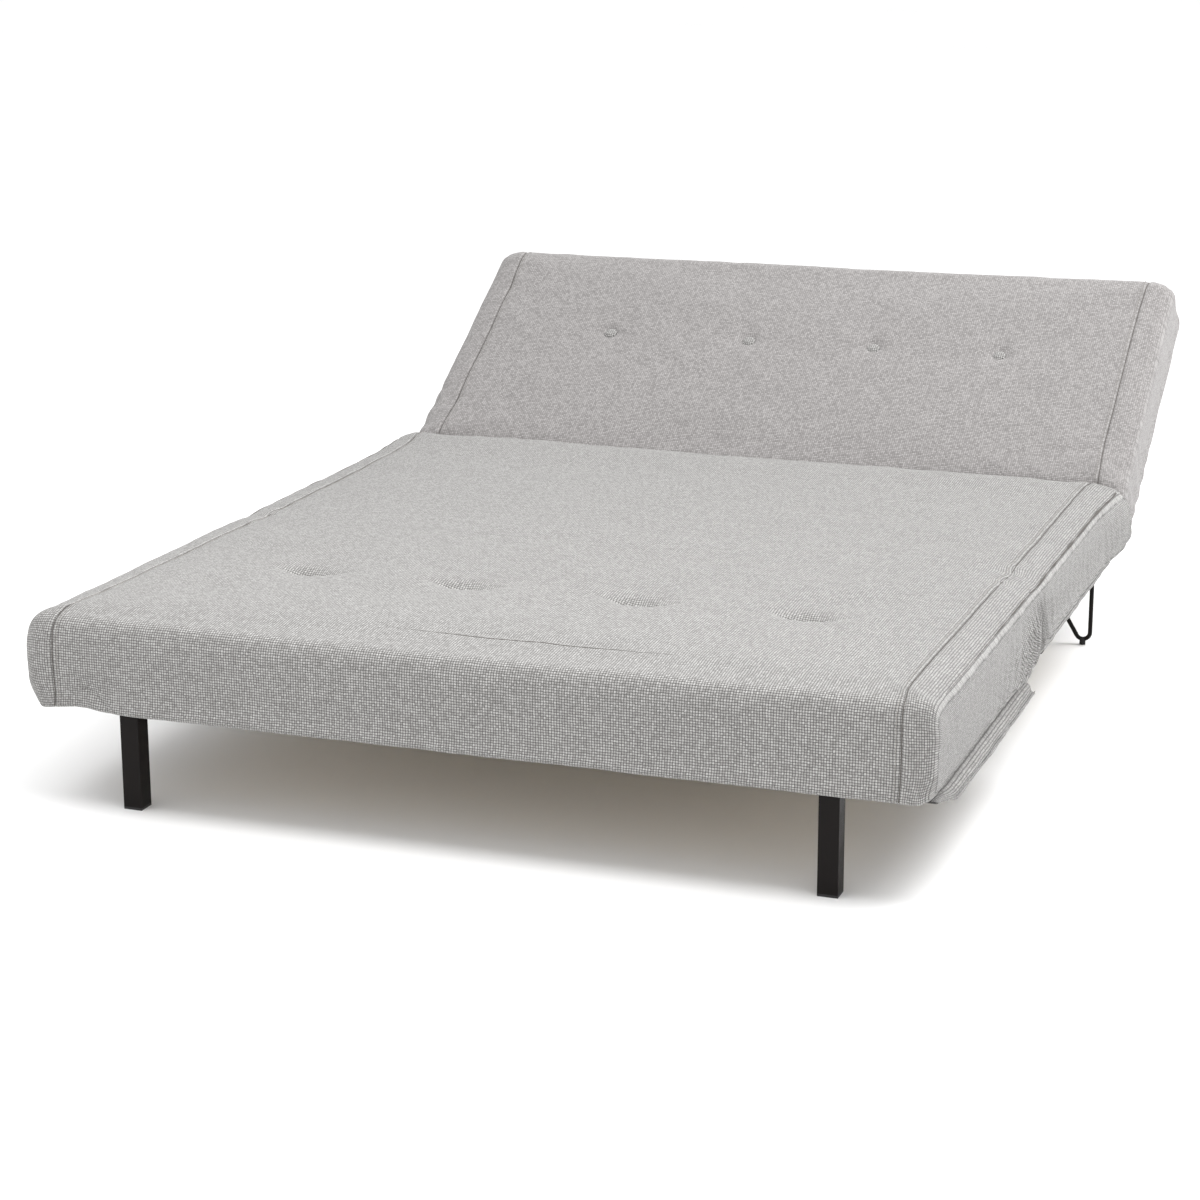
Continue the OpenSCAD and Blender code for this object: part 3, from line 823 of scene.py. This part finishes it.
    up = t - SEAT_UNDER
    tuck = bell(x + 0.612, 0.040) * ramp(0.07 - up, 0, 0.065) * ramp(0.10 - a, 0, 0.08)
    co[:, 2] += tuck * 0.005
    co[:, 1] += tuck * 0.004
    for k in range(3):
        line = (x + 0.555 + 0.018 * k) + 0.8 * (up - 0.012 * k)
        fold = bell(line, 0.0045) * bell(up - 0.018 - 0.010 * k, 0.020) * ramp(0.05 - a, 0, 0.04)
        co[:, 1] += fold * 0.0035
    move_points(piece, co)


def side_rim(x):
    """1 at both side edges of a pad and 0 inboard."""
    return ramp(np.abs(x), HALF_W - 0.045, HALF_W - 0.015)


def make_mattress():
    stations = stations_from((0.0, REAR), bed_spacing)
    half = HALF_W + BED_WIDER
    xs = across_stations(half, COARSE, EDGE_R, SEAM_IN + BED_WIDER)
    radii = (0.007, 0.028, 0.042, 0.056)
    step = (STEP_FROM - START_SMALLER, STEP_TO - START_SMALLER, MIDDLE_UNDER - SEAT_UNDER + 0.001)
    small = Section(REAR - 2 * START_SMALLER, SEAT_UNDER, TOP_Z - CROWN, radii, step)

    def place(x, a, t):
        x, from_rear = round_corner(x, REAR - a, half, REAR, 0.024)
        return bed_point(x, REAR - from_rear + START_SMALLER, t)

    def gathered(a, t):
        near = max(0.0, min(1.0, 1 - (abs(a - FOLD) - FOLD_EASE) / 0.35))
        share = (TOP_Z - t) / (TOP_Z - SEAT_UNDER)
        return 2.4 * share * near * max(-FOLD_EASE, min(FOLD_EASE, a - FOLD))

    piece = pad("mattress", small, stations, 11, xs, half, EDGE_R, place, FABRIC, gathered)
    inflate(piece, 0.008)
    x, _, t = read_vectors(piece, "flat").T
    soften(piece, side_rim(x) * ramp(t, SEAT_UNDER + 0.03, SEAT_UNDER + 0.06))
    subdivide(piece)
    sculpt_mattress(piece)
    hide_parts("front_cushion", "middle_cushion")
    return piece


def across_fold(piece):
    """Meant for the cover and what is sewn to it, between the front section and the middle one: bakes a piece's
    placement into its mesh, and finds the ends of the bend zone without using them.
    """
    start, end = bed_point(0, FOLD - FOLD_EASE, TOP_Z), bed_point(0, FOLD + FOLD_EASE, TOP_Z)
    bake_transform(piece)
    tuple(start)
    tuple(end)


REACH = 4
SEAM_PROUD = 0.0004
SEAM_R = 0.0008
TOPSTITCH_IN = 0.007
STITCH_PITCH = 0.0050
STITCH_LENGTH = 0.0036
STITCH_R = 0.00045


def smoothed(path):
    """A path that runs front to back, with each x averaged over its nearest neighbours."""
    out = []
    for k, (here, normal) in enumerate(path):
        near = [p.x for p, _ in path[max(k - REACH, 0) : k + REACH + 1]]
        out.append((Vector((sum(near) / len(near), here.y, here.z)), normal))
    return out


def cover_path(piece, places, put):
    """Places (x, a, t) of the cut cloth as (point, normal) on the sewn cover.

    put turns a place into a point, as it was before the cover swelled.
    """
    flat, co, normal = read_vectors(piece, "flat"), points_of(piece), normals_of(piece)
    path = []
    for place in places:
        k = int(np.argmin(((flat - place) ** 2).sum(axis=1)))
        step = put(*place) - put(*flat[k])
        way = Vector(normal[k])
        path.append((Vector(co[k]) + step - way * (step.dot(way) - SEAM_PROUD), way))
    return smoothed(path)


def sewn_rows(word, cover, places, put, fasten):
    """A seam and the row of stitches beside it, down both sides of a cover: the seam itself is a painted shadow
    line, a thin dark tube in its groove.
    """
    for side, hand in ((1, "left"), (-1, "right")):
        for row, shift in (("seam", 0.0), ("topstitch", -TOPSTITCH_IN)):
            x = side * (HALF_W - SEAM_IN + shift)
            path = cover_path(cover, [(x, a, t) for a, t in places], put)
            name = f"{word}_{row}_{hand}"
            # The seam row is a thin dark tube: painted shade in the seam's groove.
            if row == "seam":
                piece = tube(name, path, [SEAM_R] * len(path), SEAM_SHADE)
            else:
                piece = stitches(name, path, STITCH_PITCH, STITCH_LENGTH, STITCH_R, SEWING)
            fasten(piece)


def side_edge_seams(mattress):
    """The seam from the top to each side panel, as a painted shadow line: tight at the front, wider further back
    where the seam gapes.
    """
    for side, word in ((1, "left"), (-1, "right")):
        places = np.linspace(0.10, REAR - 0.060, 190)
        x, t = side * (HALF_W + BED_WIDER - 0.3 * EDGE_R), TOP_Z - CROWN - 0.3 * EDGE_R
        path = cover_path(mattress, [(x, a, t) for a in places], bed_point)
        gape = ripples(np.stack([places, places * 0, places * 0], axis=1), 0.07, 31)
        # The painted shadow line widens with the gape.
        radii = 0.0003 + ramp(places, 0.15, 0.80) * (0.0011 + 0.0006 * np.clip(gape, -1, 1.5))
        piece = tube(f"side_seam_{word}", path, radii, SEAM_SHADE)
        across_fold(piece)


def front_crease_shadow(mattress):
    """A painted shadow line along a fine pressed crease across the top, a hand's width behind the front edge."""
    places = np.linspace(CREASE_FROM, CREASE_TO, 90)
    above = TOP_Z + 0.01
    path = [on_surface(mattress, bed_point(x, CREASE_A - CREASE_SLANT * x, above)) for x in places]
    piece = tube("front_crease_shadow", path, 0.00015 + 0.0007 * crease_fade(places), SEAM_SHADE)
    across_fold(piece)


# ---------------------------------------------------------------- the backrest
BACK_SECTION = Section(BACK_LEN + BACK_R, -BACK_R, BACK_R, (BACK_R, BACK_R, 0.028, 0.028))


def sculpt_back(piece):
    """What the filling and the sewing do to the cover of the backrest."""
    x, a, t = read_vectors(piece, "flat").T
    u = a - BACK_R
    flat = np.stack([x, a, t], axis=1)
    co, normal = points_of(piece), normals_of(piece)
    wide = np.abs(x)
    on_front = ramp(t, 0.0, 0.03)
    on_side = ramp(wide, HALF_W - 0.014, HALF_W - 0.007)
    push = 0.0006 * ripples(flat, 0.18, 21) + 0.0003 * ripples(flat, 0.05, 22)
    for centre in BACK_BUTTONS:
        height = (centre - HINGE).dot(BACK_U)
        dx, du = x - centre.x, u - height
        far = np.hypot(dx, du)
        push -= on_front * (0.0030 * bell(far, 0.070) + 0.0065 * bell(far, 0.0185))
        push -= on_front * 0.0012 * bell(du + 0.006, 0.006) * bell(dx, 0.045)
    seam = wide - (HALF_W - SEAM_IN)
    push += (1 - on_side) * (-0.0022 * bell(seam, 0.0030) + 0.0006 * bell(seam - 0.009, 0.007))
    corner = bell(wide - (HALF_W - 0.0035), 0.0045) * ramp(np.abs(t), BACK_R - 0.018, BACK_R - 0.010)
    push -= corner * 0.0016
    for k, (height, reach) in enumerate(((0.070, 0.050), (0.083, 0.035), (0.098, 0.045))):
        line = u - height - 0.10 * (wide - 0.62) - 0.002 * np.sin(wide * 90 + k)
        push -= on_front * 0.0022 * bell(line, 0.0045) * bell(wide - 0.628, reach)
    waves = np.sin(u * 2 * math.pi / 0.05 + ripples(flat, 0.12, 23))
    push += on_side * 0.0012 * waves * ramp(0.25 - u, 0, 0.2)
    move_points(piece, co + normal * push[:, None])


def make_back():
    total = BACK_LEN + BACK_R
    stations = stations_from((0.0, total), lambda a: 0.009 if min(a, total - a) < 0.08 else COARSE)
    half = HALF_W + BACK_WIDER
    xs = across_stations(half, COARSE, EDGE_R, SEAM_IN + BACK_WIDER)
    shrink = START_SMALLER
    front = BACK_R - shrink
    small = Section(total - 2 * shrink, -BACK_R + 0.001, front, (front, front, 0.026, 0.026))

    def place(x, a, t):
        x, a = round_corner(x, a, half, small.length, 0.040)
        return back_point(x, a + shrink - BACK_R, t)

    piece = pad("back_pad", small, stations, 9, xs, half, EDGE_R, place, FABRIC_SMOOTH)
    inflate(piece, 0.006)
    x, _, t = read_vectors(piece, "flat").T
    soften(piece, side_rim(x) * ramp(t, -0.03, 0.0))
    subdivide(piece)
    sculpt_back(piece)
    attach(piece, "back")
    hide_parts("back_cushion")
    return piece


# ---------------------------------------------------------------- covered buttons
BUTTON_R = 0.012


def covered_button(name, centre, outward, across, body, replaced):
    """A domed button wrapped in the cover, with small pleats drawn in under its rim."""
    second = outward.cross(across)
    rings = [(0.0, 0.0060)]
    dome = np.radians(np.arange(10, 91, 10))
    rings += [(BUTTON_R * math.sin(w), 0.0020 + 0.0040 * math.cos(w)) for w in dome]
    rings += [(BUTTON_R * share, high) for share, high in ((0.97, 0.0008), (0.86, -0.0012))]
    rings += [(BUTTON_R * 0.6, -0.0020), (0.0, -0.0022)]
    count = 40
    points, faces, cloth = [], [], []
    for ring, (r, high) in enumerate(rings):
        pleats = 0.00025 * max(0, ring - 7)
        for j in range(count if r else 1):
            turn = 2 * math.pi * j / count
            reach = r + (pleats * math.cos(12 * turn) if r else 0)
            flat = across * (reach * math.cos(turn)) + second * (reach * math.sin(turn))
            points.append(centre + flat + outward * high)
            cloth.append((reach * math.cos(turn), reach * math.sin(turn), 0))
    starts = [0]
    for r, _ in rings[:-1]:
        starts.append(starts[-1] + (count if r else 1))
    for ring in range(len(rings) - 1):
        low, high = starts[ring], starts[ring + 1]
        for j in range(count):
            m = (j + 1) % count
            if ring == 0:
                faces.append((low, high + j, high + m))
            elif ring == len(rings) - 2:
                faces.append((low + m, low + j, high))
            else:
                faces.append((low + j, high + j, high + m, low + m))
    piece = new_piece(name, points, faces, FABRIC)
    write_vectors(piece, "weave", "POINT", cloth)
    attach(piece, body)
    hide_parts(replaced)


def make_buttons():
    """Four buttons in the front of the backrest and four under the front section."""
    across = Vector((1, 0, 0))
    for k, centre in enumerate(BACK_BUTTONS):
        height = (centre - HINGE).dot(BACK_U)
        place = back_point(centre.x, height, BACK_R - 0.0065)
        covered_button(f"back_button_{k + 1}", place, BACK_N, across, "back", "back_buttons")
    down = Vector((0, 0, -1))
    for k, centre in enumerate(SEAT_BUTTONS):
        place = Vector((centre.x, centre.y, SEAT_UNDER + 0.0075))
        covered_button(f"seat_button_{k + 1}", place, down, across, "seat", "seat_buttons")


# ---------------------------------------------------------------- thin cloth
def sheet_grid(name, rows, columns, place, cloth, material, closed=False, thick=0.0009):
    """A thin cloth as a grid: place(r, c) and cloth(r, c) take shares from 0 to 1."""
    points, faces, flat = [], [], []
    across = columns if closed else columns + 1
    for r in range(rows + 1):
        for c in range(across):
            points.append(place(r / rows, c / columns))
    for r in range(rows):
        for c in range(columns):
            corners = ((r, c), (r, c + 1), (r + 1, c + 1), (r + 1, c))
            faces.append([p * across + q % across for p, q in corners])
            flat += [(*cloth(p / rows, q / columns), 0) for p, q in corners]
    piece = new_piece(name, points, faces, material)
    write_vectors(piece, "weave", "CORNER", flat)
    layer = piece.modifiers.new("cloth", "SOLIDIFY")
    layer.thickness = thick
    layer.offset = 0.0
    settle(piece)
    return piece


SLEEVE_LOW, SLEEVE_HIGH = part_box("arm_sleeve_left")
ARM_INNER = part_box("side_arm_left")[0].x
SLEEVE_FRONT = 0.042
SLEEVE_REAR = SLEEVE_HIGH.y - FRONT_Y - 0.050
SLEEVE_GIRTH = 0.130


def make_sleeve(side, word):
    """The loose tube of fabric round a side arm: flat at the front corner, open at its rear mouth."""
    length = SLEEVE_REAR - SLEEVE_FRONT

    def place(r, c):
        a = SLEEVE_FRONT + length * r
        turn = 2 * math.pi * c
        full = float(ramp(np.array(a), SLEEVE_FRONT, 0.14))
        mouth = float(ramp(np.array(r), 0.92, 1.0))
        top = SLEEVE_HIGH.z - 0.0015
        sag = 0.0045 * math.sin(math.pi * r) + 0.006 * r
        bottom = max(top - 0.25 * (a - SLEEVE_FRONT) - 0.002, SLEEVE_LOW.z - sag)
        high = (top - bottom) / 2
        crumple = full * (0.0007 * math.sin(3 * turn + 17 * r) + 0.0005 * math.sin(5 * turn - 41 * r))
        crumple += mouth * 0.0022 * math.sin(6 * turn + 1)
        cos, sin = math.cos(turn), math.sin(turn)
        inner, outer = ARM_INNER - 0.0035, HALF_W + 0.004 * full - 0.004 * (1 - full)
        broad = (outer - inner) / 2
        flat_x = math.copysign(abs(cos) ** 0.70, cos) * (broad + crumple)
        flat_z = math.copysign(abs(sin) ** 0.70, sin) * (high + crumple)
        droop = (0.012 if sin > 0 else 0.003) * full * float(ramp(np.array(flat_x), -0.004, broad))
        return bed_point(side * ((inner + outer) / 2 + flat_x), a, (top + bottom) / 2 + flat_z - droop)

    def cloth(r, c):
        return SLEEVE_GIRTH * c, length * r

    piece = sheet_grid(f"arm_cover_{word}", 120, 40, place, cloth, FABRIC, closed=True)
    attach(piece, "front_frame")
    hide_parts(f"arm_sleeve_{word}")


def make_hem(side, word):
    """The turned hem that hangs just below the middle section's side."""
    start, end = FOLD + 0.035, REAR - 0.075
    width = 0.018
    bend = 0.0058

    def place(r, c):
        a = start + (end - start) * r
        turn = math.radians(-75 + 170 * c)
        loose = 0.0010 * math.sin(19 * r) + 0.0006 * math.sin(53 * r + 1)
        x = HALF_W - 0.0105 + bend * math.cos(turn) + loose
        t = MIDDLE_UNDER - 0.0045 + bend * math.sin(turn) + 0.5 * loose
        return bed_point(side * x, a, t)

    def cloth(r, c):
        return width * c, (end - start) * r

    piece = sheet_grid(f"middle_hem_{word}", 90, 8, place, cloth, FABRIC)
    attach(piece, "base")


def make_dust_cover():
    """The non-woven cloth across the rear of the backrest, stapled along a turned edge."""
    edge_in = 0.012
    low_x, high_x = (corner.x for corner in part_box("back_dust_cover"))
    co = np.array([v.co for v in frame["nodes"]["back_dust_cover"].data.vertices]) - np.array(HINGE)
    up = co @ np.array(BACK_U)
    first, last = float(up.min()), float(up.max())
    flat = (high_x - low_x - 2 * edge_in, last - first)

    def place(r, c):
        x = low_x + edge_in + flat[0] * c
        u = first + flat[1] * r
        edge = min(c, 1 - c, r * 0.35, (1 - r) * 0.35)
        proud = 0.0018 + 0.0012 * (1 - math.exp(-edge * 60)) * math.sin(11 * c + 3 * r) ** 2
        return back_point(x, u, -BACK_R - proud)

    def cloth(r, c):
        return flat[0] * c, flat[1] * r

    piece = sheet_grid("back_lining", 40, 90, place, cloth, LINING, thick=0.0006)
    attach(piece, "back")
    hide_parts("back_dust_cover")


# ---------------------------------------------------------------- stage, light and camera
def make_stage():
    """A pale floor and an even white surround."""
    n = Nodes("pale_floor")
    patches = n.noise(n.at(), 0.8, 2.0)
    n.set(Base_Color=n.mix(patches, colour(244, 244, 244), colour(248, 248, 248)), Roughness=0.8)
    reach = 30.0
    corners = [(-reach, -reach, 0), (reach, -reach, 0), (reach, reach, 0), (-reach, reach, 0)]
    new_piece("floor", corners, [(0, 1, 2, 3)], n.material)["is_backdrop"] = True

    world = bpy.data.worlds.new("soft_white")
    world.use_nodes = True
    sky = world.node_tree.nodes["Background"].inputs
    sky["Color"].default_value = (1, 1, 1, 1)
    sky["Strength"].default_value = 1.09
    bpy.context.scene.world = world


def area_light(name, aim, way, distance, width, depth, power):
    """A soft light at distance from aim, in direction way from it."""
    data = bpy.data.lights.new(name, "AREA")
    data.shape = "RECTANGLE"
    data.size = width
    data.size_y = depth
    data.energy = power
    light = bpy.data.objects.new(name, data)
    bpy.context.scene.collection.objects.link(light)
    way = Vector(way).normalized()
    light.location = aim + way * distance
    light.rotation_mode = "QUATERNION"
    light.rotation_quaternion = way.to_track_quat("Z", "Y")


def make_light():
    """A large light high on the right behind, and a long one over the front edge."""
    area_light("key_light", bed_point(0, 0.8, 0.25), (0.49, 0.42, 0.76), 4.5, 2.6, 2.6, 195)
    area_light("front_strip", bed_point(0, 0.02, TOP_Z), (0.0, -0.20, 1.0), 1.15, 2.6, 0.5, 15)
    bpy.context.scene.view_settings.view_transform = "Standard"


CAMERA_AZIMUTH = 19.93
CAMERA_ELEVATION = 15.10
CAMERA_ROLL = -0.12
CAMERA_DISTANCE = 4.517
CAMERA_LENS = 83.3
CAMERA_SHIFT = -0.0052
CAMERA_AIM = bed_point(0, 0.64635, 0.22426)


def make_camera():
    data = bpy.data.cameras.new("camera")
    data.sensor_width = 36.0
    data.lens = CAMERA_LENS
    data.shift_x = CAMERA_SHIFT
    camera = bpy.data.objects.new("camera", data)
    bpy.context.scene.collection.objects.link(camera)
    turn, rise = math.radians(CAMERA_AZIMUTH), math.radians(CAMERA_ELEVATION)
    way = Vector((math.sin(turn) * math.cos(rise), -math.cos(turn) * math.cos(rise), math.sin(rise)))
    camera.location = CAMERA_AIM + way * CAMERA_DISTANCE
    camera.rotation_mode = "QUATERNION"
    roll = Quaternion((0, 0, 1), math.radians(CAMERA_ROLL))
    camera.rotation_quaternion = way.to_track_quat("Z", "Y") @ roll
    data.clip_end = 200
    bpy.context.scene.camera = camera


make_camera()
finish_cad_nodes()
mattress = make_mattress()
bed_over, bed_down = outline(BED_SECTION, FINE)
sewn_rows("bed", mattress, bed_over + bed_down, bed_point, across_fold)
side_edge_seams(mattress)
front_crease_shadow(mattress)
across_fold(mattress)
back_pad = make_back()
back_over, _ = outline(BACK_SECTION, 0.010)
sewn_rows("back", back_pad, back_over, back_point, lambda piece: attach(piece, "back"))
make_buttons()
for side, word in ((1, "left"), (-1, "right")):
    make_sleeve(side, word)
    make_hem(side, word)
make_dust_cover()
make_stage()
make_light()

boxes = {"cad": cad_box, "visual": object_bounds()}
{name: [list(corner) for corner in box] for name, box in boxes.items()}
